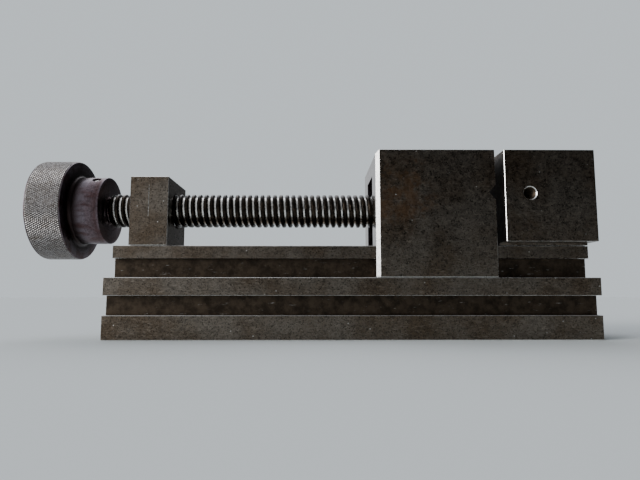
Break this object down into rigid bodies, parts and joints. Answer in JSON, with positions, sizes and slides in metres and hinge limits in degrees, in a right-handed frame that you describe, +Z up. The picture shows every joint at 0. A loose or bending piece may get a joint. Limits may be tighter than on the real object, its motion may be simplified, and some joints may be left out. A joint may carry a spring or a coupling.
{
  "type": "bench vise",
  "caption": "Ground steel screw vise: T-rail base with side clamping grooves, fixed jaw, sliding jaw with a V groove, lead screw in a nut block, and a knurled knob.",
  "frame": {"origin": "centre of the base's underside", "axes": "+X along the rail from the knob to the fixed jaw, +Z up, Y across the jaws"},
  "size_m": [0.2533, 0.05, 0.0838],
  "materials": {
    "ground_steel": "ground tool steel, darkened and lightly stained with age",
    "turned_steel": "turned steel, knurled on the knob's rim",
    "screw_steel": "thread-cut steel, oiled, dark on its crests and bright on its flanks",
    "black_oxide_steel": "black oxide",
    "hardened_steel": "hardened and ground"
  },
  "bodies": {
    "vise_base": {"base": "ground_steel", "nut_block": "ground_steel", "fixed_jaw": "ground_steel", "nut_block_bolt_1": "black_oxide_steel", "nut_block_bolt_2": "black_oxide_steel", "nut_block_dowel_1": "hardened_steel", "nut_block_dowel_2": "hardened_steel", "fixed_jaw_bolt_1": "black_oxide_steel", "fixed_jaw_bolt_2": "black_oxide_steel", "fixed_jaw_bolt_3": "black_oxide_steel", "fixed_jaw_bolt_4": "black_oxide_steel", "fixed_jaw_dowel_1": "hardened_steel", "fixed_jaw_dowel_2": "hardened_steel"},
    "sliding_jaw": {"moving_jaw": "ground_steel", "keeper_plate": "turned_steel", "keeper_screw_1": "black_oxide_steel", "keeper_screw_2": "black_oxide_steel", "thrust_button": "hardened_steel"},
    "screw": {"lead_screw": "screw_steel", "knob": "turned_steel", "knob_pin": "hardened_steel"}
  },
  "joints": [
    {"name": "jaw_slide", "type": "slide", "parent": "vise_base", "child": "sliding_jaw", "axis": [1, 0, 0], "range_m": [-0.0924, 0.0039]},
    {"name": "screw_turn", "type": "hinge", "parent": "sliding_jaw", "child": "screw", "pos_m": [-0.05, 0, 0.0598], "axis": [1, 0, 0], "range_deg": [-11088, 468]}
  ],
  "couplings": [
    {"joint": "screw_turn", "follows": "jaw_slide", "rad_per_m": 2094.4}
  ]
}
